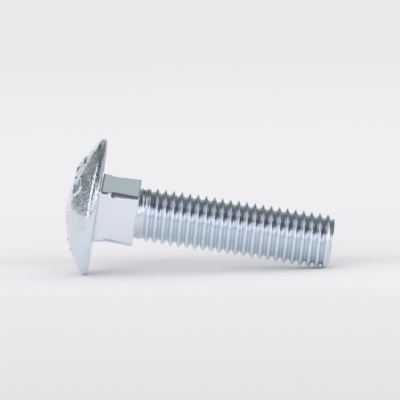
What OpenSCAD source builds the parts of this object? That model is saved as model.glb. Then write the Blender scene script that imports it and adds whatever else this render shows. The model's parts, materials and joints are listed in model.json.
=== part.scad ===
// Carriage bolt with a mushroom head, a square neck and a rolled thread,
// M12 x 50, lying as it comes to rest on a flat surface. Millimetres.
// It is made along z, underside of the head at z = 0 and thread towards +z,
// and is then laid down: head towards -x, thread end towards +x, z = 0 below.

/* [Head] */
// diameter of the round head
head_d = 29.4; // [24:0.1:34]
// height of the head, flat underside to top of the dome
head_h = 6.6; // [4.5:0.1:8]
// height of the straight band round the rim
rim_h = 1.3; // [0.9:0.1:2]
// width of the small flat on the rim that the bolt rests on
rest_flat_w = 3.8; // [3.4:0.1:5]
// rounding between the rim and the dome
dome_round = 0.5; // [0.2:0.05:0.8]

/* [Square neck] */
// width of the neck across its flats
neck_w = 11.4; // [11:0.1:13]
// length of the neck below the head
neck_l = 8.5; // [7:0.1:10]
// turn of the neck about the axis of the bolt
neck_turn = 17.5; // [0:0.5:45]
// size over the corners next to the root
corner_root_d = 14.3; // [13.8:0.1:15]
// size over the corners at the thread end
corner_end_d = 15.5; // [15:0.1:16]
// size over the corners of the fuller root
root_d = 15.6; // [15:0.1:16.5]
// length of the fuller root below the head
root_l = 2.2; // [1.4:0.1:3]
// leg of the slope between the flats and the head
root_leg = 0.7; // [0.3:0.1:1.1]

/* [Shank and thread] */
// length from the underside of the head to the end
shank_l = 50.5; // [35:0.5:60]
// outside diameter of the thread
thread_d = 11.82; // [11.6:0.01:11.96]
// pitch of the thread, right hand
pitch = 1.75; // [1.5:0.05:2]
// diameter of the rolled blank next to the neck
blank_d = 10.7; // [10.5:0.05:10.9]
// width of the flat on the crest
crest_w = 0.2; // [0.1:0.02:0.3]
// length over which the thread fades in below the neck
fade_l = 3.9; // [2:0.1:6]
// place of one crest on the lower side, from the underside of the head
crest_at = 13.05; // [12:0.05:14]
// length of the chamfer at the end
chamfer_l = 1.6; // [1:0.1:2.5]
// diameter of the flat at the end
end_d = 9.9; // [9:0.1:10.5]

/* [Hidden] */
$fn = 96;
steel = [0.76, 0.79, 0.83];
facets_per_turn = 44;

// head: the dome is part of one sphere, which meets the band round the rim
head_r = head_d / 2;
dome_drop = head_h - rim_h;
dome_r = (head_r * head_r + dome_drop * dome_drop) / (2 * dome_drop);
dome_z = dome_r - head_h;
round_x = head_r - dome_round;
round_z = dome_z - sqrt(pow(dome_r - dome_round, 2) - pow(round_x, 2));
round_angle = atan2(dome_z - round_z, round_x);
flat_x = sqrt(pow(head_r, 2) - pow(rest_flat_w / 2, 2));

// thread: a 60 degree profile, given as place along the axis and radius
thread_r = thread_d / 2;
blank_r = blank_d / 2;
end_r = end_d / 2;
depth = 0.6134 * pitch;
root_r = thread_r - depth;
flank = depth * tan(30);
profile = [
    [-crest_w / 2, thread_r],
    [crest_w / 2, thread_r],
    [crest_w / 2 + flank, root_r],
    [pitch - crest_w / 2 - flank, root_r],
];
start_z = crest_at - pitch * ceil((crest_at - neck_l) / pitch + 1.1);
turns = ceil((shank_l - start_z) / pitch) + 1;
rows = len(profile) * turns + 1;

// rest: the bolt lies on the flat of its rim and on the last full crest
crests = floor((shank_l - chamfer_l - crest_w / 2 - crest_at) / pitch);
rest_z = crest_at + crests * pitch + crest_w / 2;
tilt = atan2(flat_x - thread_r, rest_z);
lift = flat_x * cos(tilt);
x_head = dome_z * cos(tilt) - dome_r;
x_end = shank_l * cos(tilt) + end_r * sin(tilt);

// share of the full thread depth, growing from nothing at the neck
function depth_share(z) = max(0, min(1, (z - neck_l) / fade_l));

function helix_point(turn, row) =
    let (
        step = profile[row % len(profile)],
        z = start_z + pitch * (turn / facets_per_turn + floor(row / len(profile))) + step[0],
        r = blank_r + depth_share(z) * (step[1] - blank_r),
        angle = 360 * turn / facets_per_turn
    )
    [r * cos(angle), r * sin(angle), z];

// number of a point; the column after the last is the first, one pitch on
function spot(turn, row) =
    turn < facets_per_turn ? turn * rows + row : row + len(profile);

module helix_solid() {
    last = rows - 1;
    lead = len(profile);
    foot = facets_per_turn * rows;
    top = foot + 1;
    points = [
        for (turn = [0 : facets_per_turn - 1])
            for (row = [0 : last]) helix_point(turn, row),
        [0, 0, start_z + pitch / 2],
        [0, 0, start_z + pitch * (turns + 0.5)],
    ];
    skin = [
        for (turn = [0 : facets_per_turn - 1])
            for (row = [0 : turn < facets_per_turn - 1 ? last - 1 : last - lead - 1])
                each [
                    [spot(turn, row), spot(turn, row + 1), spot(turn + 1, row + 1)],
                    [spot(turn, row), spot(turn + 1, row + 1), spot(turn + 1, row)],
                ],
    ];
    foot_cap = [
        for (turn = [0 : facets_per_turn - 1]) [foot, spot(turn, 0), spot(turn + 1, 0)],
        for (row = [0 : lead - 1]) [foot, spot(0, row + 1), spot(0, row)],
    ];
    top_cap = [
        for (turn = [0 : facets_per_turn - 2]) [top, spot(turn + 1, last), spot(turn, last)],
        for (row = [last - lead : last - 1])
            [top, spot(facets_per_turn - 1, row), spot(facets_per_turn - 1, row + 1)],
        [top, spot(0, last), spot(facets_per_turn - 1, last - lead)],
    ];
    polyhedron(points = points, faces = concat(skin, foot_cap, top_cap));
}

// all that lies inside the end chamfer
module chamfer_limit() {
    clear = 0.6;
    cone_l = chamfer_l * (1 + clear / (thread_r - end_r));
    rotate_extrude()
        polygon([
            [0, start_z - pitch],
            [thread_r + clear, start_z - pitch],
            [thread_r + clear, shank_l - cone_l],
            [end_r, shank_l],
            [0, shank_l],
        ]);
}

module shank() {
    intersection() {
        helix_solid();
        chamfer_limit();
    }
}

module head_profile() {
    far = 2 * head_r;
    difference() {
        intersection() {
            translate([0, dome_z]) circle(r = dome_r);
            translate([0, -head_h]) square([head_r, head_h]);
        }
        polygon([
            [round_x, round_z],
            [far, round_z],
            [far, -far],
            [round_x + far * cos(round_angle), round_z - far * sin(round_angle)],
        ]);
    }
    translate([round_x, round_z]) circle(r = dome_round);
}

module head() {
    difference() {
        rotate_extrude() head_profile();
        translate([flat_x, -head_r, -head_h]) cube([head_r, head_d, 2 * head_h]);
    }
}

// the neck as it shows from one side, with its root sunk into the head
module neck_slab() {
    half = neck_w / 2;
    wide = half + root_leg;
    sunk = rim_h / 2;
    rotate([90, 0, 0])
        linear_extrude(height = 2 * neck_w, center = true)
            polygon([
                [-wide, -sunk],
                [wide, -sunk],
                [wide, 0],
                [half, root_leg],
                [half, neck_l],
                [-half, neck_l],
                [-half, root_leg],
                [-wide, 0],
            ]);
}

// the forging fills the corners less near the root and fuller at the head
module corner_limit() {
    sunk = rim_h;
    cylinder(h = neck_l + sunk, d1 = corner_root_d, d2 = corner_end_d);
    translate([0, 0, -sunk]) cylinder(h = root_l + sunk, d = root_d);
}

module neck() {
    intersection() {
        rotate([0, 0, neck_turn]) neck_slab();
        rotate([0, 0, neck_turn + 90]) neck_slab();
        corner_limit();
    }
}

module carriage_bolt() {
    color(steel)
        translate([-(x_head + x_end) / 2, 0, lift])
            rotate([0, 90 + tilt, 0]) {
                head();
                neck();
                shank();
            }
}

carriage_bolt();
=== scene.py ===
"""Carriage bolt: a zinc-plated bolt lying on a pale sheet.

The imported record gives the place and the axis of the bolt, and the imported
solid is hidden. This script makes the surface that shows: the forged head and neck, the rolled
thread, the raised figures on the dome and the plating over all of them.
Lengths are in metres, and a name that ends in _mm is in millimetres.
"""

import json
import logging
from dataclasses import dataclass, field
from enum import Enum
from math import acos, atan2, copysign, cos, degrees, hypot, pi, radians, sin, sqrt, tan

import bpy
from mathutils import Matrix, Vector


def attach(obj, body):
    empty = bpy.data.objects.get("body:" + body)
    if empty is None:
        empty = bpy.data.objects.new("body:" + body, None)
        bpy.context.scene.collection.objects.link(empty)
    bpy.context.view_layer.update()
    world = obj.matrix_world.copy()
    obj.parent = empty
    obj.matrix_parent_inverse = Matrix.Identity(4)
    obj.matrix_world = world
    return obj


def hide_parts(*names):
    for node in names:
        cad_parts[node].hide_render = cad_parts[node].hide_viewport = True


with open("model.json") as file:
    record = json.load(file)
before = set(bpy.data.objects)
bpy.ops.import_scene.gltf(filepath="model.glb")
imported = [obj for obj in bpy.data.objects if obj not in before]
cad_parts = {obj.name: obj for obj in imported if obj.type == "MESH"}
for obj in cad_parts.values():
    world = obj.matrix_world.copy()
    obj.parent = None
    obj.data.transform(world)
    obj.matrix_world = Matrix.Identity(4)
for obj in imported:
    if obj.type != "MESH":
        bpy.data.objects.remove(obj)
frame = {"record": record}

LOG = logging.getLogger("carriage_bolt")
NODE = "carriage_bolt"
BODY = "root"
MM = 0.001


def smooth_step(low: float, high: float, value: float) -> float:
    """Rise smoothly from 0 at low to 1 at high.

    Args:
        low: Value at which the rise starts.
        high: Value at which the rise ends.
        value: Value to look up.

    Returns:
        A share from 0 to 1.
    """
    share = max(0.0, min(1.0, (value - low) / (high - low)))
    return share * share * (3.0 - 2.0 * share)


def mount(name: str) -> dict:
    """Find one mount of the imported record.

    Args:
        name: Name of the mount.

    Returns:
        The mount as the record holds it.
    """
    return next(one for one in frame["record"]["mounts"] if one["name"] == name)


class Region(Enum):
    """Part of the bolt's surface, in the order of its material slots."""

    HEAD = 0
    NECK = 1
    THREAD = 2


@dataclass
class Draft:
    """Points and faces of one closed surface, before it becomes a mesh."""

    points: list[Vector] = field(default_factory=list)
    faces: list[tuple[int, ...]] = field(default_factory=list)
    regions: list[int] = field(default_factory=list)

    def point(self, place: Vector) -> int:
        """Add a point.

        Args:
            place: Place of the point in the bolt's own axes, in millimetres.

        Returns:
            The point's number.
        """
        self.points.append(place)
        return len(self.points) - 1

    def face(self, corners: tuple[int, ...], region: Region) -> None:
        """Add a face, leaving out a corner that two columns share.

        Args:
            corners: Point numbers, anticlockwise as seen from outside.
            region: Part of the surface that the face belongs to.
        """
        kept = tuple(dict.fromkeys(corners))
        if len(kept) > 2:
            self.faces.append(kept)
            self.regions.append(region.value)

    def to_object(self, name: str, place: Matrix) -> bpy.types.Object:
        """Make a smooth-shaded mesh object.

        Args:
            name: Name of the object and of its mesh.
            place: Matrix from the bolt's own axes, in metres, to the frame.

        Returns:
            The new object, linked to the scene.
        """
        mesh = bpy.data.meshes.new(name)
        mesh.from_pydata([place @ (spot * MM) for spot in self.points], [], self.faces)
        mesh.polygons.foreach_set("material_index", self.regions)
        mesh.polygons.foreach_set("use_smooth", [True] * len(self.faces))
        mesh.update()
        piece = bpy.data.objects.new(name, mesh)
        bpy.context.scene.collection.objects.link(piece)
        return piece


@dataclass
class RestPlace:
    """Where the bolt lies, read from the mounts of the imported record."""

    shank_l_mm: float
    axis: Vector = field(init=False)
    root: Vector = field(init=False)

    def __post_init__(self) -> None:
        """Work out the axis and the centre of the head's underside."""
        thread = mount("thread")
        self.axis = Vector(thread["axis"]).normalized()
        self.root = Vector(thread["pos_m"]) - self.axis * self.shank_l_mm * MM

    def matrix(self) -> Matrix:
        """Give the matrix from the bolt's own axes to the frame.

        Returns:
            A matrix that takes z to the bolt's axis and x to its lower side.
        """
        side = Vector((0.0, 1.0, 0.0))
        lower = side.cross(self.axis)
        turn = Matrix((lower, side, self.axis)).transposed().to_4x4()
        return Matrix.Translation(self.root) @ turn


@dataclass
class ForgedHead:
    """Mushroom head: one spherical dome, a barrelled rim and a flat underside.

    Angles along its outline are those of the surface's outward direction, from
    0 on top of the dome over 90 degrees at the rim to 180 at the underside. Each
    bend gives the angle at which it ends, its radius and its number of steps.
    """

    diameter: float = 29.4
    dome_lean: float = radians(38.0)
    bends: tuple[tuple[float, float, int], ...] = (
        (radians(52.0), 3.2, 5), (radians(90.0), 1.08, 6), (radians(112.0), 1.08, 4),
        (radians(180.0), 0.3, 6))
    rest_flat: float = 3.8
    dome_rings: int = 26
    underside_rings: tuple[float, ...] = (13.2, 11.6, 10.0)

    @property
    def radius(self) -> float:
        """Radius over the rim."""
        return self.diameter / 2

    @property
    def flat_reach(self) -> float:
        """Distance from the axis to the small flat that the rim rests on."""
        return sqrt(self.radius**2 - (self.rest_flat / 2) ** 2)

    def bend_steps(self) -> list[tuple[float, float]]:
        """Trace the rim from where it leaves the dome.

        Returns:
            Pairs of radius and place along the axis, both from the start.
        """
        spots, out, down, angle = [], 0.0, 0.0, self.dome_lean
        for end, bend, steps in self.bends:
            for i in range(1, steps + 1):
                turn = angle + (end - angle) * i / steps
                spots.append((out + bend * (sin(turn) - sin(angle)),
                              down + bend * (cos(angle) - cos(turn))))
            (out, down), angle = spots[-1], end
        return spots

    @property
    def dome_radius(self) -> float:
        """Radius of the sphere that the dome is part of."""
        widest = max(out for out, _ in self.bend_steps())
        return (self.radius - widest) / sin(self.dome_lean)

    @property
    def height(self) -> float:
        """Height of the head above its underside."""
        return self.dome_radius * (1 - cos(self.dome_lean)) + self.bend_steps()[-1][1]

    @property
    def dome_centre(self) -> float:
        """Place of the sphere's centre along the axis."""
        return self.dome_radius - self.height

    def dome_height(self, reach: float) -> float:
        """Place of the dome's surface along the axis.

        Args:
            reach: Distance from the axis.

        Returns:
            Distance along the axis, negative above the underside.
        """
        return self.dome_centre - sqrt(self.dome_radius**2 - reach**2)

    def outline(self) -> list[tuple[float, float]]:
        """Trace the head from next to the dome's top to the underside.

        Returns:
            Pairs of radius and place along the axis.
        """
        dome = [
            (self.dome_radius * sin(self.dome_lean * i / self.dome_rings),
             self.dome_centre - self.dome_radius * cos(self.dome_lean * i / self.dome_rings))
            for i in range(1, self.dome_rings + 1)
        ]
        start_out, start_down = dome[-1]
        rim = [(start_out + out, start_down + down) for out, down in self.bend_steps()]
        return dome + rim


@dataclass
class SquareNeck:
    """Square neck with forged corners and a fuller root below the head.

    The corners carry shallow forging marks, which come up over the stretch
    mark_start, die away over mark_stop and repeat every mark_pitch. Each step of
    the foot gives what it adds to the blank's radius and its distance from the
    neck.
    """

    width: float = 11.4
    length: float = 8.5
    turn: float = radians(17.5)
    corner_root: float = 14.3
    corner_end: float = 15.3
    full_root: float = 15.6
    full_length: float = 2.2
    full_ease: float = 0.5
    fillet: float = 0.7
    edge_round: float = 0.25
    corner_blend: float = 0.06
    mark_height: float = 0.03
    mark_pitch: float = 0.75
    mark_start: tuple[float, float] = (1.6, 2.4)
    mark_stop: tuple[float, float] = (3.4, 4.6)
    corner_columns: int = 5
    fillet_steps: int = 6
    edge_steps: int = 4
    ring_places: tuple[float, ...] = (
        1.1, 1.5, 1.8, 2.0, 2.15, 2.3, 2.5, 2.8, 3.6, 4.6, 5.6, 6.6, 7.4, 8.0)
    foot: tuple[tuple[float, float], ...] = ((0.12, 0.0), (0.03, 0.03), (0.0, 0.12))

    def corner_radius(self, place: float) -> float:
        """Radius that limits the corners.

        Args:
            place: Distance below the underside of the head.

        Returns:
            Greatest distance of the surface from the axis.
        """
        share = place / self.length
        forged = self.corner_root + (self.corner_end - self.corner_root) * share
        ease = self.full_ease
        fuller = 1.0 - smooth_step(self.full_length - ease, self.full_length + ease, place)
        marked = smooth_step(*self.mark_start, place) * (
            1.0 - smooth_step(*self.mark_stop, place))
        mark = marked * self.mark_height * sin(2 * pi * place / self.mark_pitch)
        return (forged + (self.full_root - forged) * fuller) / 2 + mark

    def section(self, columns: int, place: float, grow: float) -> list[Vector]:
        """Give one ring of the neck.

        Args:
            columns: Number of points in the ring, a multiple of four.
            place: Distance below the underside of the head.
            grow: How far the outline stands out from the flats.

        Returns:
            Points in order round the axis, starting at the middle of a corner.
        """
        half = self.width / 2 + grow
        limit = self.corner_radius(max(0.0, place)) + grow
        reach = acos(min(1.0, half / limit))
        side = columns // 4
        arc = self.corner_columns
        turns = []
        for i in range(side):
            if i < arc:
                turns.append(-pi / 4 + (pi / 4 - reach) * i / arc)
            elif i > side - arc:
                turns.append(pi / 4 - (pi / 4 - reach) * (side - i) / arc)
            else:
                share = 2 * (i - arc) / (side - 2 * arc) - 1
                turns.append(atan2(share * tan(reach), 1.0))
        ring = []
        for quarter in range(4):
            for turn in turns:
                radius = self.blended(limit, half / cos(turn))
                angle = self.turn + quarter * pi / 2 + turn
                ring.append(Vector((radius * cos(angle), radius * sin(angle), place)))
        return ring

    def blended(self, corner: float, flat: float) -> float:
        """Join a flat to the round corner next to it with a soft edge.

        Args:
            corner: Radius of the round corner.
            flat: Radius at which the flat lies.

        Returns:
            The smaller of the two, eased where they meet.
        """
        gap = corner - flat
        return (corner + flat - hypot(gap, self.corner_blend)) / 2

    def first_angle(self) -> float:
        """Angle of the first column, at the middle of a corner."""
        return self.turn - pi / 4


@dataclass
class RolledThread:
    """Right-hand metric thread with rounded crests and roots.

    The points of half a pitch lie at crest_steps, at the start of the rounded
    root, at root_step and in the middle of the groove. Each hollow of the end
    face gives its radius and its depth.
    """

    diameter: float = 11.94
    pitch: float = 1.75
    blank: float = 10.7
    crest: float = 0.3
    crest_round: float = 0.33
    root_share: float = 0.09
    crest_steps: tuple[float, ...] = (0.0, 0.08, 0.14, 0.19, 0.25, 0.36, 0.52)
    root_step: float = 0.79
    start: float = SquareNeck.length
    start_gap: float = 0.2
    fade: float = 3.9
    crest_at: float = 13.05
    chamfer: float = 1.6
    end: float = 9.9
    end_round: float = 0.12
    end_gap: float = 0.03
    hollows: tuple[tuple[float, float], ...] = (
        (4.4, 0.02), (3.4, 0.1), (2.2, 0.16), (1.0, 0.19))
    hollow_depth: float = 0.2
    length: float = 50.5

    @property
    def root_round(self) -> float:
        """Radius of the rolled root."""
        return self.root_share * self.pitch

    @property
    def tangent(self) -> float:
        """Distance from the crest at which the flank meets the rolled root."""
        return self.pitch / 2 - self.root_round * cos(pi / 6)

    def offsets(self) -> list[float]:
        """Give the places of the points of one pitch.

        Returns:
            Distances along the axis, from one crest to the next.
        """
        half = [*self.crest_steps, self.tangent, self.root_step]
        return half + [self.pitch / 2] + [self.pitch - one for one in reversed(half[1:])]

    def radius_at(self, offset: float) -> float:
        """Radius of the full thread.

        Args:
            offset: Distance along the axis from the last crest, under a pitch.

        Returns:
            Radius of the surface there.
        """
        away = min(offset, self.pitch - offset)
        slope = (min(away, self.tangent) - self.crest / 2) * sqrt(3.0)
        flank = self.diameter / 2 - (slope + hypot(slope, self.crest_round)) / 2
        if away <= self.tangent:
            return flank
        across = self.pitch / 2 - away
        return flank + self.root_round / 2 - sqrt(self.root_round**2 - across**2)

    def limited(self, radius: float, place: float) -> float:
        """Keep a radius inside the end chamfer.

        Args:
            radius: Radius of the thread.
            place: Distance along the axis from the underside of the head.

        Returns:
            The radius, cut back near the end.
        """
        left = self.length - place
        slope = (self.diameter - self.end) / 2 / self.chamfer
        cone = self.end / 2 + slope * left
        tip = self.end / 2 - self.end_round + sqrt(
            max(0.0, self.end_round**2 - max(0.0, self.end_round - left) ** 2))
        if left < self.end_round:
            cone = min(cone, tip)
        return min(radius, cone)

    def surface(self, offset: float, place: float) -> float:
        """Radius of the rolled surface with its run-out and its chamfer.

        Args:
            offset: Distance along the axis from the last crest.
            place: Distance along the axis from the underside of the head.

        Returns:
            Radius of the surface there.
        """
        share = max(0.0, min(1.0, (place - self.start) / self.fade))
        rolled = self.blank / 2 + share * (self.radius_at(offset) - self.blank / 2)
        return self.limited(rolled, place)


@dataclass
class BoltBody:
    """The one forged and rolled piece, made as columns round its axis."""

    head: ForgedHead = field(default_factory=ForgedHead)
    neck: SquareNeck = field(default_factory=SquareNeck)
    thread: RolledThread = field(default_factory=RolledThread)
    columns: int = 168
    draft: Draft = field(default_factory=Draft)

    def angle(self, column: int) -> float:
        """Angle of a column where the section is round."""
        return self.neck.first_angle() + 2 * pi * column / self.columns

    def circle(self, radius: float, place: float) -> list[Vector]:
        """Give one round ring.

        Args:
            radius: Radius of the ring.
            place: Distance along the axis from the underside of the head.

        Returns:
            Points in order round the axis.
        """
        reach = self.head.flat_reach
        return [
            Vector((min(reach, radius * cos(self.angle(i))), radius * sin(self.angle(i)), place))
            for i in range(self.columns)
        ]

    def join(self, rings: list[list[Vector]], region: Region,
             start: list[int]) -> list[int]:
        """Add rings, each joined to the ring before it.

        Args:
            rings: Rings of points, in order along the surface.
            region: Part of the surface that the new faces belong to.
            start: Point numbers of the ring that the first one joins.

        Returns:
            Point numbers of the last ring.
        """
        last = start
        for ring in rings:
            new = [self.draft.point(spot) for spot in ring]
            for i in range(self.columns):
                j = (i + 1) % self.columns
                self.draft.face((last[i], last[j], new[j], new[i]), region)
            last = new
        return last

    def make_head(self) -> list[int]:
        """Make the dome, the rim and the underside.

        Returns:
            Point numbers of the innermost ring of the underside.
        """
        top = self.draft.point(Vector((0.0, 0.0, -self.head.height)))
        rings = [self.circle(radius, place) for radius, place in self.head.outline()]
        face_in = [self.circle(radius, 0.0) for radius in self.head.underside_rings]
        return self.join(rings + face_in, Region.HEAD, [top] * self.columns)

    def make_neck(self, start: list[int]) -> list[int]:
        """Make the root fillet, the four flats and the flat below them.

        Args:
            start: Point numbers of the ring that the root joins.

        Returns:
            Point numbers of the ring where the shank starts.
        """
        neck = self.neck
        steps = neck.fillet_steps
        fillet = [
            neck.section(self.columns, neck.fillet * (1 - cos(turn)),
                         neck.fillet * (1 - sin(turn)))
            for turn in (pi / 2 * i / steps for i in range(steps + 1))
        ]
        flats = [neck.section(self.columns, place, 0.0) for place in neck.ring_places]
        edge, steps = neck.edge_round, neck.edge_steps
        rim = [
            neck.section(self.columns, neck.length - edge * (1 - sin(turn)),
                         -edge * (1 - cos(turn)))
            for turn in (pi / 2 * i / steps for i in range(steps + 1))
        ]
        blank = self.thread.blank / 2
        foot = [self.circle(blank + out, neck.length + down) for out, down in neck.foot]
        last = self.join(fillet + flats + rim, Region.NECK, start)
        return self.join(foot, Region.NECK, last)

    def helix_column(self, column: int) -> list[tuple[int, int]]:
        """Add the points of the thread that lie on one column.

        Args:
            column: Number of the column.

        Returns:
            Pairs of place in the helix and point number, towards the end.
        """
        thread = self.thread
        offsets = thread.offsets()
        angle = self.angle(column)
        lead = thread.crest_at + thread.pitch * angle / (2 * pi)
        low = thread.start + thread.start_gap
        high = thread.length - thread.end_gap
        first = int((low - lead) / thread.pitch) - 2
        final = int((high - lead) / thread.pitch) + 2
        spots = []
        for turn in range(first, final + 1):
            for i, offset in enumerate(offsets):
                place = lead + turn * thread.pitch + offset
                if low < place < high:
                    radius = thread.surface(offset, place)
                    spot = Vector((radius * cos(angle), radius * sin(angle), place))
                    spots.append((turn * len(offsets) + i, self.draft.point(spot)))
        return spots

    def zip_columns(self, left: list[tuple[int, int]], right: list[tuple[int, int]]) -> None:
        """Fill the strip between two columns of the thread.

        Args:
            left: Pairs of place in the helix and point number.
            right: The same for the next column.
        """
        i = j = 0
        while i < len(left) - 1 or j < len(right) - 1:
            ahead = left[i + 1][0] if i < len(left) - 1 else None
            beside = right[j + 1][0] if j < len(right) - 1 else None
            if ahead == beside:
                corners = (left[i][1], right[j][1], right[j + 1][1], left[i + 1][1])
                i, j = i + 1, j + 1
            elif beside is None or (ahead is not None and ahead < beside):
                corners = (left[i][1], right[j][1], left[i + 1][1])
                i += 1
            else:
                corners = (left[i][1], right[j][1], right[j + 1][1])
                j += 1
            self.draft.face(corners, Region.THREAD)

    def make_thread(self, start: list[int]) -> list[int]:
        """Make the thread from the neck to the rim of the end face.

        Args:
            start: Point numbers of the ring where the shank starts.

        Returns:
            Point numbers of the ring round the end face.
        """
        thread = self.thread
        pitch_points = len(thread.offsets())
        # place in the helix of the points beyond its two ends
        far = 10**6
        end_ring, columns = [], []
        for i in range(self.columns):
            lead = thread.crest_at + thread.pitch * self.angle(i) / (2 * pi)
            offset = (thread.length - lead) % thread.pitch
            radius = thread.surface(offset, thread.length)
            spot = Vector((radius * cos(self.angle(i)), radius * sin(self.angle(i)),
                           thread.length))
            end_ring.append(self.draft.point(spot))
            column = [(-far, start[i])] + self.helix_column(i) + [(far, end_ring[i])]
            columns.append(column)
        for i in range(self.columns - 1):
            self.zip_columns(columns[i], columns[i + 1])
        wrapped = [
            (number if abs(number) == far else number - pitch_points, spot)
            for number, spot in columns[0]
        ]
        self.zip_columns(columns[-1], wrapped)
        return end_ring

    def make_end(self, start: list[int]) -> None:
        """Close the end face, which rolling leaves slightly hollow.

        Args:
            start: Point numbers of the ring round the end face.
        """
        thread = self.thread
        rings = [self.circle(radius, thread.length - depth) for radius, depth in thread.hollows]
        last = self.join(rings, Region.THREAD, start)
        centre = self.draft.point(Vector((0.0, 0.0, thread.length - thread.hollow_depth)))
        for i in range(self.columns):
            j = (i + 1) % self.columns
            self.draft.face((last[i], last[j], centre), Region.THREAD)

    def build(self, place: RestPlace) -> bpy.types.Object:
        """Build the whole bolt where it lies.

        Args:
            place: Where the bolt lies.

        Returns:
            The bolt as one closed mesh.
        """
        underside = self.make_head()
        shank = self.make_neck(underside)
        rim = self.make_thread(shank)
        self.make_end(rim)
        return self.draft.to_object("forged_bolt", place.matrix())


@dataclass
class RaisedFigures:
    """Generic raised zeros and bars that stand on the dome."""

    head: ForgedHead = field(default_factory=ForgedHead)
    reach: float = 9.0
    height: float = 3.1
    width: float = 3.6
    stroke: float = 0.8
    proud: float = 0.3
    turn: float = radians(220.5)
    spread: float = radians(20.0)
    bar_length: float = 3.0
    bar_places: tuple[float, ...] = (-1.2, 0.9)
    squareness: float = 0.6
    ring_steps: int = 40
    bar_steps: int = 16
    section_steps: int = 12
    taper_start: float = 0.15
    taper_rings: float = 3.0
    draft: Draft = field(default_factory=Draft)

    def on_dome(self, angle: float, out: float, along: float) -> tuple[Vector, Vector]:
        """Place a point of a figure on the dome.

        Args:
            angle: Direction of the figure's middle round the axis.
            out: Distance from the figure's middle, away from the axis.
            along: Distance from the figure's middle, round the axis.

        Returns:
            The point on the dome and the dome's outward direction there.
        """
        radial = Vector((cos(angle), sin(angle), 0.0))
        across = Vector((-sin(angle), cos(angle), 0.0))
        flat = radial * (self.reach + out) + across * along
        spot = Vector((flat.x, flat.y, self.head.dome_height(flat.length)))
        centre = Vector((0.0, 0.0, self.head.dome_centre))
        return spot, (spot - centre).normalized()

    def bead(self, path: list[tuple[Vector, Vector]], closed: bool) -> None:
        """Lay a raised bead along a path on the dome.

        Args:
            path: Points on the dome, each with the dome's outward direction.
            closed: Whether the bead runs back into its own start.
        """
        count = len(path)
        rings = []
        for i, (spot, up) in enumerate(path):
            before = path[i - 1][0] if closed or i else spot
            after = path[(i + 1) % count][0] if closed or i < count - 1 else spot
            aside = (after - before).cross(up).normalized()
            taper = 1.0 if closed else self.end_taper(i, count)
            rings.append([
                self.draft.point(
                    spot + aside * cos(turn) * self.stroke / 2 * taper
                    + up * sin(turn) * self.proud * taper)
                for turn in (2 * pi * k / self.section_steps for k in range(self.section_steps))
            ])
        last = count if closed else count - 1
        for i in range(last):
            near, far = rings[i], rings[(i + 1) % count]
            for k in range(self.section_steps):
                m = (k + 1) % self.section_steps
                self.draft.face((near[k], far[k], far[m], near[m]), Region.HEAD)
        if not closed:
            self.draft.face(tuple(rings[0]), Region.HEAD)
            self.draft.face(tuple(reversed(rings[-1])), Region.HEAD)

    def end_taper(self, index: int, count: int) -> float:
        """Round off the two ends of an open bead.

        Args:
            index: Number of the ring.
            count: Number of rings in the bead.

        Returns:
            Share of the full section.
        """
        inward = min(index, count - 1 - index)
        share = min(1.0, (inward + self.taper_start) / self.taper_rings)
        return sqrt(1.0 - (1.0 - share) ** 2)

    def zero(self, angle: float) -> None:
        """Lay a plain zero, a ring with rounded corners.

        Args:
            angle: Direction of the figure's middle round the axis.
        """
        path = []
        for i in range(self.ring_steps):
            turn = 2 * pi * i / self.ring_steps
            out = copysign(abs(cos(turn)) ** self.squareness, cos(turn)) * self.height / 2
            along = copysign(abs(sin(turn)) ** self.squareness, sin(turn)) * self.width / 2
            path.append(self.on_dome(angle, out, along))
        self.bead(path, closed=True)

    def bar(self, angle: float, out: float, length: float) -> None:
        """Lay a short straight bead round the axis.

        Args:
            angle: Direction of the bar's middle round the axis.
            out: Distance of the bar from the middle of the figures' ring.
            length: Length of the bar.
        """
        last = self.bar_steps - 1
        path = [self.on_dome(angle, out, length * (i / last - 0.5)) for i in range(last + 1)]
        self.bead(path, closed=False)

    def build(self, place: RestPlace) -> bpy.types.Object:
        """Build all figures on the dome.

        Args:
            place: Where the bolt lies.

        Returns:
            The figures as one object of closed beads.
        """
        self.zero(self.turn - self.spread)
        self.zero(self.turn + self.spread)
        self.bar(self.turn, -self.height / 2, self.stroke)
        for out in self.bar_places:
            self.bar(0.0, out, self.bar_length)
        return self.draft.to_object("raised_figures", place.matrix())


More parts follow.
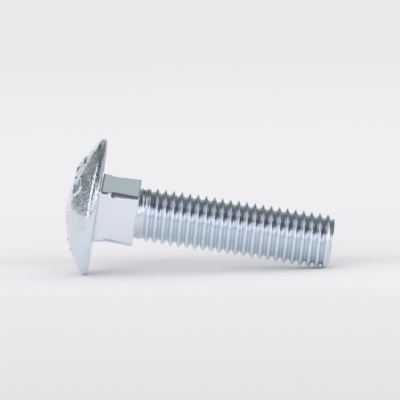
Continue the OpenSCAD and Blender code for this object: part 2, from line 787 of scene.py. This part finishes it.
class NodeTree:
    """Small helper that places and links shader nodes."""

    def __init__(self, tree: bpy.types.NodeTree) -> None:
        """Keep the tree and empty it.

        Args:
            tree: Tree to fill.
        """
        self.tree = tree
        tree.nodes.clear()

    def add(self, kind: str, **values: object) -> bpy.types.Node:
        """Add a node.

        Args:
            kind: Blender's name of the node type.
            **values: Properties of the node, or socket values by input name.

        Returns:
            The new node.
        """
        node = self.tree.nodes.new(kind)
        for name, value in values.items():
            if hasattr(node, name):
                setattr(node, name, value)
            else:
                node.inputs[name.replace("_", " ")].default_value = value
        return node

    def link(self, source: bpy.types.NodeSocket, target: bpy.types.NodeSocket) -> None:
        """Join two sockets."""
        self.tree.links.new(source, target)

    def math(self, operation: str, *terms: object) -> bpy.types.NodeSocket:
        """Add a math node.

        Args:
            operation: Blender's name of the operation.
            *terms: Sockets or numbers, one for each input.

        Returns:
            The result's socket.
        """
        node = self.add("ShaderNodeMath", operation=operation)
        for i, term in enumerate(terms):
            if isinstance(term, (int, float)):
                node.inputs[i].default_value = term
            else:
                self.link(term, node.inputs[i])
        return node.outputs[0]

    def blend(self, share: bpy.types.NodeSocket, first: object,
              second: object) -> bpy.types.NodeSocket:
        """Mix two colours.

        Args:
            share: Socket that gives the share of the second colour.
            first: Socket or colour for a share of 0.
            second: Socket or colour for a share of 1.

        Returns:
            The mixed colour's socket.
        """
        node = self.add("ShaderNodeMix", data_type="RGBA")
        self.link(share, node.inputs["Factor"])
        for name, colour in (("A", first), ("B", second)):
            if isinstance(colour, tuple):
                node.inputs[name].default_value = (*colour, 1.0)
            else:
                self.link(colour, node.inputs[name])
        return node.outputs["Result"]

    def ramp(self, value: bpy.types.NodeSocket, low: float, high: float,
             first: float = 0.0, last: float = 1.0) -> bpy.types.NodeSocket:
        """Map a value smoothly from one range to another.

        Args:
            value: Socket to read.
            low: Value that gives first.
            high: Value that gives last.
            first: Result at low.
            last: Result at high.

        Returns:
            The result's socket.
        """
        node = self.add("ShaderNodeMapRange", interpolation_type="SMOOTHSTEP")
        self.link(value, node.inputs["Value"])
        for name, number in (("From Min", low), ("From Max", high),
                             ("To Min", first), ("To Max", last)):
            node.inputs[name].default_value = number
        return node.outputs["Result"]


class SurfaceGroups:
    """Shader node groups that the platings share.

    The edges are values of a noise between which a cloud or a speck comes up.
    Depths are in millimetres below the thread's nominal radius.
    """

    cloud_edges: tuple[float, float] = (0.38, 0.66)
    speck_edges: tuple[float, float] = (0.5, 0.72)
    fine_ratio: float = 4.0
    least_roughness: float = 0.04
    crest_depth: float = 0.15
    groove_depth: float = 0.5

    def __init__(self, place: RestPlace, thread: RolledThread) -> None:
        """Build each group once.

        Args:
            place: Where the bolt lies.
            thread: The thread, for its sizes.
        """
        self.mottle = self.make_mottle()
        self.grain = self.make_grain()
        self.shaded_groove = self.make_groove_shade(place, thread)

    @staticmethod
    def start(name: str, inputs: list[tuple[str, str, object]],
              outputs: list[tuple[str, str]]) -> tuple[NodeTree, bpy.types.Node, bpy.types.Node]:
        """Start a group with named inputs and outputs.

        Args:
            name: Name of the group.
            inputs: Name, socket type and default of each input.
            outputs: Name and socket type of each output.

        Returns:
            The tree, its input node and its output node.
        """
        group = bpy.data.node_groups.new(name, "ShaderNodeTree")
        for label, kind, default in inputs:
            socket = group.interface.new_socket(name=label, in_out="INPUT", socket_type=kind)
            socket.default_value = default
        for label, kind in outputs:
            group.interface.new_socket(name=label, in_out="OUTPUT", socket_type=kind)
        tree = NodeTree(group)
        return tree, tree.add("NodeGroupInput"), tree.add("NodeGroupOutput")

    def make_mottle(self) -> bpy.types.NodeTree:
        """Make the cloudy colour and gloss of a zinc plating.

        Returns:
            A group that gives a colour and a roughness.
        """
        tree, given, out = self.start(
            "plating_mottle",
            [("Base", "NodeSocketColor", (0.8, 0.8, 0.8, 1.0)),
             ("Cloud", "NodeSocketColor", (0.7, 0.7, 0.7, 1.0)),
             ("Size", "NodeSocketFloat", 300.0),
             ("Roughness", "NodeSocketFloat", 0.2),
             ("Spread", "NodeSocketFloat", 0.08)],
            [("Color", "NodeSocketColor"), ("Roughness", "NodeSocketFloat")])
        where = tree.add("ShaderNodeTexCoord")
        clouds = tree.add("ShaderNodeTexNoise", Detail=4.0, Roughness=0.6)
        tree.link(where.outputs["Object"], clouds.inputs["Vector"])
        tree.link(given.outputs["Size"], clouds.inputs["Scale"])
        share = tree.ramp(clouds.outputs["Fac"], *self.cloud_edges)
        mixed = tree.blend(share, given.outputs["Base"], given.outputs["Cloud"])
        tree.link(mixed, out.inputs["Color"])
        fine = tree.add("ShaderNodeTexNoise", Detail=3.0, Roughness=0.55)
        tree.link(where.outputs["Object"], fine.inputs["Vector"])
        tree.link(tree.math("MULTIPLY", given.outputs["Size"], self.fine_ratio),
                  fine.inputs["Scale"])
        lift = tree.math("MULTIPLY", tree.math("SUBTRACT", fine.outputs["Fac"], 0.5),
                         given.outputs["Spread"])
        rough = tree.math("ADD", given.outputs["Roughness"], tree.math("MULTIPLY", lift, 2.0))
        tree.link(tree.math("MAXIMUM", rough, self.least_roughness), out.inputs["Roughness"])
        return tree.tree

    def make_grain(self) -> bpy.types.NodeTree:
        """Make the fine relief of a forged and plated surface.

        Returns:
            A group that gives a height for a bump node.
        """
        tree, given, out = self.start(
            "forged_grain",
            [("Size", "NodeSocketFloat", 1500.0),
             ("Waviness", "NodeSocketFloat", 0.5),
             ("Wave Size", "NodeSocketFloat", 250.0)],
            [("Height", "NodeSocketFloat")])
        where = tree.add("ShaderNodeTexCoord")
        fine = tree.add("ShaderNodeTexNoise", Detail=1.0, Roughness=0.5)
        wave = tree.add("ShaderNodeTexNoise", Detail=2.0, Roughness=0.5)
        for node, size in ((fine, "Size"), (wave, "Wave Size")):
            tree.link(where.outputs["Object"], node.inputs["Vector"])
            tree.link(given.outputs[size], node.inputs["Scale"])
        specks = tree.ramp(fine.outputs["Fac"], *self.speck_edges)
        swell = tree.math("MULTIPLY", wave.outputs["Fac"], given.outputs["Waviness"])
        tree.link(tree.math("ADD", specks, swell), out.inputs["Height"])
        return tree.tree

    def make_groove_shade(self, place: RestPlace, thread: RolledThread) -> bpy.types.NodeTree:
        """Make the mask of the painted shade in the thread's grooves.

        Args:
            place: Where the bolt lies.
            thread: The thread, for its sizes.

        Returns:
            A group that gives 0 on the crests and 1 in the grooves.
        """
        tree, _, out = self.start("groove_depth", [], [("Depth", "NodeSocketFloat")])
        where = tree.add("ShaderNodeTexCoord")
        away = tree.add("ShaderNodeVectorMath", operation="SUBTRACT")
        tree.link(where.outputs["Object"], away.inputs[0])
        away.inputs[1].default_value = place.root
        cross = tree.add("ShaderNodeVectorMath", operation="CROSS_PRODUCT")
        tree.link(away.outputs["Vector"], cross.inputs[0])
        cross.inputs[1].default_value = place.axis
        reach = tree.add("ShaderNodeVectorMath", operation="LENGTH")
        tree.link(cross.outputs["Vector"], reach.inputs[0])
        crest = (thread.diameter / 2 - self.crest_depth) * MM
        shaded_groove = (thread.diameter / 2 - self.groove_depth) * MM
        tree.link(tree.ramp(reach.outputs["Value"], shaded_groove, crest, 1.0, 0.0),
                  out.inputs["Depth"])
        return tree.tree


@dataclass(frozen=True)
class ZincFinish:
    """Bright zinc plating on one region of the bolt.

    The sizes of clouds, grain and waves are scales of noise, so a larger number
    gives a finer pattern. A finish with a groove colour has it in the grooves of
    the thread as painted shade, darker than the crests, and crest_roughness is what it adds on
    the crests.
    """

    name: str
    base: tuple[float, float, float]
    cloud: tuple[float, float, float]
    roughness: float
    spread: float
    cloud_size: float
    grain_size: float
    waviness: float
    wave_size: float
    relief_mm: float
    shaded_groove: tuple[float, float, float] | None = None
    crest_roughness: float = 0.0

    def build(self, groups: SurfaceGroups) -> bpy.types.Material:
        """Make the material.

        Args:
            groups: Shader node groups that the platings share.

        Returns:
            A metallic material with cloudy colour and fine relief.
        """
        material = bpy.data.materials.new(self.name)
        material.use_nodes = True
        tree = NodeTree(material.node_tree)
        shader = tree.add("ShaderNodeBsdfPrincipled", Metallic=1.0)
        out = tree.add("ShaderNodeOutputMaterial")
        tree.link(shader.outputs["BSDF"], out.inputs["Surface"])
        mottle = tree.add("ShaderNodeGroup", node_tree=groups.mottle)
        for name, value in (("Base", (*self.base, 1.0)), ("Cloud", (*self.cloud, 1.0)),
                            ("Size", self.cloud_size), ("Roughness", self.roughness),
                            ("Spread", self.spread)):
            mottle.inputs[name].default_value = value
        colour, rough = mottle.outputs["Color"], mottle.outputs["Roughness"]
        # painted shade: the thread's grooves get a darker colour than its crests
        if self.shaded_groove is not None:
            depth = tree.add("ShaderNodeGroup", node_tree=groups.shaded_groove).outputs["Depth"]
            colour = tree.blend(depth, colour, self.shaded_groove)
            crest = tree.math("SUBTRACT", 1.0, depth)
            rough = tree.math("MULTIPLY_ADD", crest, self.crest_roughness, rough)
        tree.link(colour, shader.inputs["Base Color"])
        tree.link(rough, shader.inputs["Roughness"])
        grain = tree.add("ShaderNodeGroup", node_tree=groups.grain)
        for name, value in (("Size", self.grain_size), ("Waviness", self.waviness),
                            ("Wave Size", self.wave_size)):
            grain.inputs[name].default_value = value
        bump = tree.add("ShaderNodeBump", Strength=1.0, Distance=self.relief_mm * MM)
        tree.link(grain.outputs["Height"], bump.inputs["Height"])
        tree.link(bump.outputs["Normal"], shader.inputs["Normal"])
        return material


HEAD_ZINC = ZincFinish(
    name="zinc_head", base=(0.775, 0.84, 0.90), cloud=(0.73, 0.81, 0.87), roughness=0.12,
    spread=0.08, cloud_size=260.0, grain_size=2800.0, waviness=1.2, wave_size=420.0,
    relief_mm=0.045)
FIGURE_ZINC = ZincFinish(
    name="zinc_figures", base=(0.84, 0.88, 0.92), cloud=(0.80, 0.85, 0.89), roughness=0.16,
    spread=0.08, cloud_size=260.0, grain_size=2300.0, waviness=1.0, wave_size=420.0,
    relief_mm=0.02)
NECK_ZINC = ZincFinish(
    name="zinc_neck", base=(0.865, 0.908, 0.985), cloud=(0.845, 0.893, 0.97), roughness=0.24,
    spread=0.04, cloud_size=220.0, grain_size=700.0, waviness=2.0, wave_size=200.0,
    relief_mm=0.008)
# the thread's groove colour is painted shade, darker than the crests
THREAD_ZINC = ZincFinish(
    name="zinc_thread", base=(0.88, 0.935, 0.975), cloud=(0.85, 0.91, 0.955), roughness=0.18,
    spread=0.08, cloud_size=420.0, grain_size=2400.0, waviness=2.0, wave_size=500.0,
    relief_mm=0.008, shaded_groove=(0.72, 0.795, 0.86), crest_roughness=0.07)


@dataclass
class PhotoCamera:
    """Long-lens camera that looks at the bolt's side from slightly above."""

    target_mm: tuple[float, float, float] = (0.035, 0.0, 15.26)
    distance: float = 0.7
    azimuth: float = radians(0.0)
    elevation: float = radians(4.0)
    roll: float = radians(-1.55)
    pixels_per_mm: float = 4.683
    frame_pixels: float = 400.0
    sensor_mm: float = 36.0
    clip: tuple[float, float] = (0.01, 50.0)

    def build(self) -> bpy.types.Object:
        """Make the camera and set it as the scene's camera.

        Returns:
            The camera object.
        """
        lens = bpy.data.cameras.new("photo_camera")
        view_width = self.frame_pixels / self.pixels_per_mm * MM
        lens.sensor_width = self.sensor_mm
        lens.lens = self.sensor_mm * self.distance / view_width
        lens.clip_start, lens.clip_end = self.clip
        camera = bpy.data.objects.new("photo_camera", lens)
        bpy.context.scene.collection.objects.link(camera)
        level = Matrix.Rotation(self.azimuth, 4, "Z") @ Matrix.Rotation(
            pi / 2 - self.elevation, 4, "X") @ Matrix.Rotation(self.roll, 4, "Z")
        back = level.to_3x3() @ Vector((0.0, 0.0, 1.0))
        target = Vector(self.target_mm) * MM
        camera.matrix_world = Matrix.Translation(target + back * self.distance) @ level
        bpy.context.scene.camera = camera
        return camera


@dataclass(frozen=True)
class Panel:
    """One bright or grey patch of the room, as the metal mirrors it.

    All its measures are angles in degrees: the azimuth runs from +X towards +Y,
    the elevation from the horizon upwards, the half width and half height from
    the middle to the edges, and soft is the width of an edge.
    """

    azimuth: float
    elevation: float
    half_width: float
    half_height: float
    soft: float
    colour: tuple[float, float, float]


@dataclass
class Studio:
    """Pale table in front of a pale backdrop, a dark room and a soft front light.

    Each of the table's painted shades gives a place across the table, in metres from the bolt's
    middle towards the back, and the table's value there, which table_tint
    multiplies. These values paint light and shade into the table's colour: a painted falloff of
    the front light, darker towards the front, and a painted shade band, darker from about 10 to
    45 mm behind the bolt's middle. The backdrop changes from low to high between the two
    elevations of backdrop_rise, in degrees.
    """

    room: tuple[float, float, float] = (0.09, 0.09, 0.10)
    ambient: tuple[float, float, float] = (0.83, 0.83, 0.835)
    backdrop_low: tuple[float, float, float] = (0.862, 0.862, 0.878)
    backdrop_high: tuple[float, float, float] = (0.822, 0.82, 0.84)
    backdrop_rise: tuple[float, float] = (-2.95, -1.35)
    half_width: float = 0.9
    front_reach: float = 0.45
    back_reach: float = 0.16
    table_turn: float = radians(-13.0)
    table_tint: tuple[float, float, float] = (1.0, 0.998, 1.018)
    lamp_place: tuple[float, float, float] = (-0.49, -2.30, 0.86)
    lamp_aim: tuple[float, float, float] = (0.0, 0.0, 0.012)
    lamp_size: tuple[float, float] = (3.2, 1.5)
    lamp_watts: float = 42.0
    # painted light and shade: darker towards the front, and a darker band behind the bolt
    table_painted_light: tuple[tuple[float, float], ...] = (
        (-0.209, 0.738), (-0.173, 0.763), (-0.133, 0.784), (-0.085, 0.803),
        (-0.057, 0.823), (-0.038, 0.850), (-0.021, 0.867), (-0.007, 0.865),
        (0.007, 0.845), (0.017, 0.807), (0.027, 0.791), (0.037, 0.824), (0.048, 0.842),
        (0.058, 0.850), (0.070, 0.858), (0.096, 0.860), (0.137, 0.866))
    panels: tuple[Panel, ...] = (
        # ceiling
        Panel(azimuth=0.0, elevation=90.0, half_width=180.0, half_height=22.0, soft=12.0,
              colour=(0.11, 0.12, 0.16)),
        # ceiling behind the bolt
        Panel(azimuth=90.0, elevation=66.0, half_width=60.0, half_height=18.0, soft=14.0,
              colour=(0.20, 0.21, 0.185)),
        # dim corner behind the head
        Panel(azimuth=144.0, elevation=18.0, half_width=20.0, half_height=20.0, soft=4.0,
              colour=(0.215, 0.218, 0.238)),
        # pale far edge of the table, all round
        Panel(azimuth=0.0, elevation=-1.0, half_width=180.0, half_height=3.0, soft=3.0,
              colour=(0.88, 0.88, 0.89)),
        # tall front window
        Panel(azimuth=261.0, elevation=22.0, half_width=11.0, half_height=23.0, soft=6.0,
              colour=(1.2, 1.15, 1.22)),
        # front windows to the right
        Panel(azimuth=325.0, elevation=15.0, half_width=55.0, half_height=15.5, soft=6.0,
              colour=(1.16, 1.12, 1.18)),
        # front window to the left
        Panel(azimuth=234.0, elevation=12.0, half_width=17.0, half_height=14.0, soft=5.0,
              colour=(1.2, 1.15, 1.22)),
        # dark sill below the front windows
        Panel(azimuth=270.0, elevation=-1.0, half_width=60.0, half_height=2.6, soft=1.5,
              colour=(0.10, 0.10, 0.12)),
        # bright strip beside the head
        Panel(azimuth=180.0, elevation=30.0, half_width=14.0, half_height=34.0, soft=4.0,
              colour=(1.3, 1.3, 1.35)),
        # grey wall beyond the thread end
        Panel(azimuth=0.0, elevation=40.0, half_width=26.0, half_height=18.0, soft=10.0,
              colour=(0.62, 0.62, 0.72)),
        # upper part of the backdrop
        Panel(azimuth=90.0, elevation=38.0, half_width=18.0, half_height=12.0, soft=9.0,
              colour=(0.49, 0.55, 0.54)),
        # lower part of the backdrop
        Panel(azimuth=90.0, elevation=8.0, half_width=37.0, half_height=10.0, soft=5.0,
              colour=(0.92, 0.96, 0.99)),
    )

    def mirrored_room(self, tree: NodeTree, azimuth: bpy.types.NodeSocket,
                      elevation: bpy.types.NodeSocket) -> bpy.types.NodeSocket:
        """Lay the panels over the dark room.

        Args:
            tree: Tree of the world.
            azimuth: Socket that gives the azimuth in degrees.
            elevation: Socket that gives the elevation in degrees.

        Returns:
            The colour's socket.
        """
        base = tree.add("ShaderNodeRGB")
        base.outputs[0].default_value = (*self.room, 1.0)
        colour = base.outputs[0]
        for panel in self.panels:
            aside = tree.math("SUBTRACT", azimuth, panel.azimuth)
            off = tree.math("ABSOLUTE", tree.math("WRAP", aside, 180.0, -180.0))
            up = tree.math("ABSOLUTE", tree.math("SUBTRACT", elevation, panel.elevation))
            soft = panel.soft / 2
            across = tree.ramp(off, panel.half_width - soft, panel.half_width + soft, 1.0, 0.0)
            along = tree.ramp(up, panel.half_height - soft, panel.half_height + soft, 1.0, 0.0)
            colour = tree.blend(tree.math("MULTIPLY", across, along), colour, panel.colour)
        return colour

    def build_world(self) -> None:
        """Make the room: a pale backdrop, mirrored panels and an even light."""
        world = bpy.data.worlds.new("room")
        bpy.context.scene.world = world
        world.use_nodes = True
        tree = NodeTree(world.node_tree)
        where = tree.add("ShaderNodeTexCoord")
        split = tree.add("ShaderNodeSeparateXYZ")
        tree.link(where.outputs["Generated"], split.inputs["Vector"])
        azimuth = tree.math("DEGREES", tree.math(
            "ARCTAN2", split.outputs["Y"], split.outputs["X"]))
        elevation = tree.math("DEGREES", tree.math("ARCSINE", split.outputs["Z"]))
        mirrored = self.mirrored_room(tree, azimuth, elevation)
        ray = tree.add("ShaderNodeLightPath")
        lit = tree.blend(ray.outputs["Is Glossy Ray"], self.ambient, mirrored)
        rising = tree.ramp(elevation, *self.backdrop_rise)
        backdrop = tree.blend(rising, self.backdrop_low, self.backdrop_high)
        light = tree.add("ShaderNodeBackground")
        tree.link(tree.blend(ray.outputs["Is Camera Ray"], lit, backdrop), light.inputs["Color"])
        out = tree.add("ShaderNodeOutputWorld")
        tree.link(light.outputs["Background"], out.inputs["Surface"])

    def table_material(self) -> bpy.types.Material:
        """Make the matt table, whose colour carries painted light and shade: a painted falloff
        of the front light towards the front and a painted shade band behind the bolt.

        Returns:
            A diffuse material.
        """
        material = bpy.data.materials.new("matt_table")
        material.use_nodes = True
        tree = NodeTree(material.node_tree)
        where = tree.add("ShaderNodeTexCoord")
        split = tree.add("ShaderNodeSeparateXYZ")
        tree.link(where.outputs["Object"], split.inputs["Vector"])
        near, far = self.table_painted_light[0][0], self.table_painted_light[-1][0]
        reach = tree.add("ShaderNodeMapRange")
        tree.link(split.outputs["Y"], reach.inputs["Value"])
        reach.inputs["From Min"].default_value = near
        reach.inputs["From Max"].default_value = far
        # colour ramp of painted light and shade along the table's depth
        painted_light_ramp = tree.add("ShaderNodeValToRGB")
        painted_light_ramp.color_ramp.interpolation = "CARDINAL"
        stops = painted_light_ramp.color_ramp.elements
        for i, (depth, shade) in enumerate(self.table_painted_light):
            place = (depth - near) / (far - near)
            stop = stops[i] if i < 2 else stops.new(place)
            stop.position = place
            stop.color = (*(shade * part for part in self.table_tint), 1.0)
        tree.link(reach.outputs["Result"], painted_light_ramp.inputs["Fac"])
        shader = tree.add("ShaderNodeBsdfDiffuse")
        tree.link(painted_light_ramp.outputs["Color"], shader.inputs["Color"])
        out = tree.add("ShaderNodeOutputMaterial")
        tree.link(shader.outputs["BSDF"], out.inputs["Surface"])
        return material

    def build_table(self) -> bpy.types.Object:
        """Make the pale table top.

        Returns:
            The table object.
        """
        wide, near, far = self.half_width, -self.front_reach, self.back_reach
        corners = [(-wide, near, 0.0), (wide, near, 0.0), (wide, far, 0.0), (-wide, far, 0.0)]
        mesh = bpy.data.meshes.new("pale_table")
        mesh.from_pydata(corners, [], [(0, 1, 2, 3)])
        mesh.update()
        table = bpy.data.objects.new("pale_table", mesh)
        bpy.context.scene.collection.objects.link(table)
        table.rotation_euler = (0.0, 0.0, self.table_turn)
        mesh.materials.append(self.table_material())
        return table

    @staticmethod
    def add_softbox(name: str, place: Vector, aim: Vector, size: tuple[float, float],
                    power: float) -> bpy.types.Object:
        """Add a rectangular soft light whose face the metal doesn't mirror.

        Args:
            name: Name of the light.
            place: Place of its middle.
            aim: Point that it faces.
            size: Width and height of its face.
            power: Power in watts.

        Returns:
            The light object.
        """
        lamp = bpy.data.lights.new(name, "AREA")
        lamp.shape = "RECTANGLE"
        lamp.size, lamp.size_y = size
        lamp.energy = power
        light = bpy.data.objects.new(name, lamp)
        light.visible_glossy = False
        bpy.context.scene.collection.objects.link(light)
        turn = (place - aim).to_track_quat("Z", "Y")
        light.matrix_world = Matrix.Translation(place) @ turn.to_matrix().to_4x4()
        return light

    def build(self) -> None:
        """Make the room, the table and the soft front light."""
        self.build_world()
        self.build_table()
        self.add_softbox("front_softbox", Vector(self.lamp_place), Vector(self.lamp_aim),
                         self.lamp_size, self.lamp_watts)


def dress(piece: bpy.types.Object, materials: list[bpy.types.Material]) -> None:
    """Args:
        piece: Object to dress.
        materials: One material for each region.
    """
    for material in materials:
        piece.data.materials.append(material)
    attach(piece, BODY)


def report(piece: bpy.types.Object) -> None:
    """Log a piece's name and its number of points and faces."""
    LOG.info("%s: %d points, %d faces", piece.name, len(piece.data.vertices),
             len(piece.data.polygons))


def main() -> None:
    """Build the stage, the bolt and its figures in order."""
    logging.basicConfig(level=logging.INFO, format="%(message)s")
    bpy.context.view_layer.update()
    bpy.context.scene.view_settings.view_transform = "Standard"
    PhotoCamera().build()
    Studio().build()

    body = BoltBody()
    place = RestPlace(body.thread.length)
    LOG.info("axis slopes down by %.2f degrees", degrees(acos(place.axis.x)))
    groups = SurfaceGroups(place, body.thread)
    materials = [finish.build(groups) for finish in (HEAD_ZINC, NECK_ZINC, THREAD_ZINC)]

    bolt = body.build(place)
    dress(bolt, materials)
    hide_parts(NODE)
    report(bolt)

    figures = RaisedFigures().build(place)
    dress(figures, [FIGURE_ZINC.build(groups)])
    report(figures)


if __name__ == "__main__":
    main()
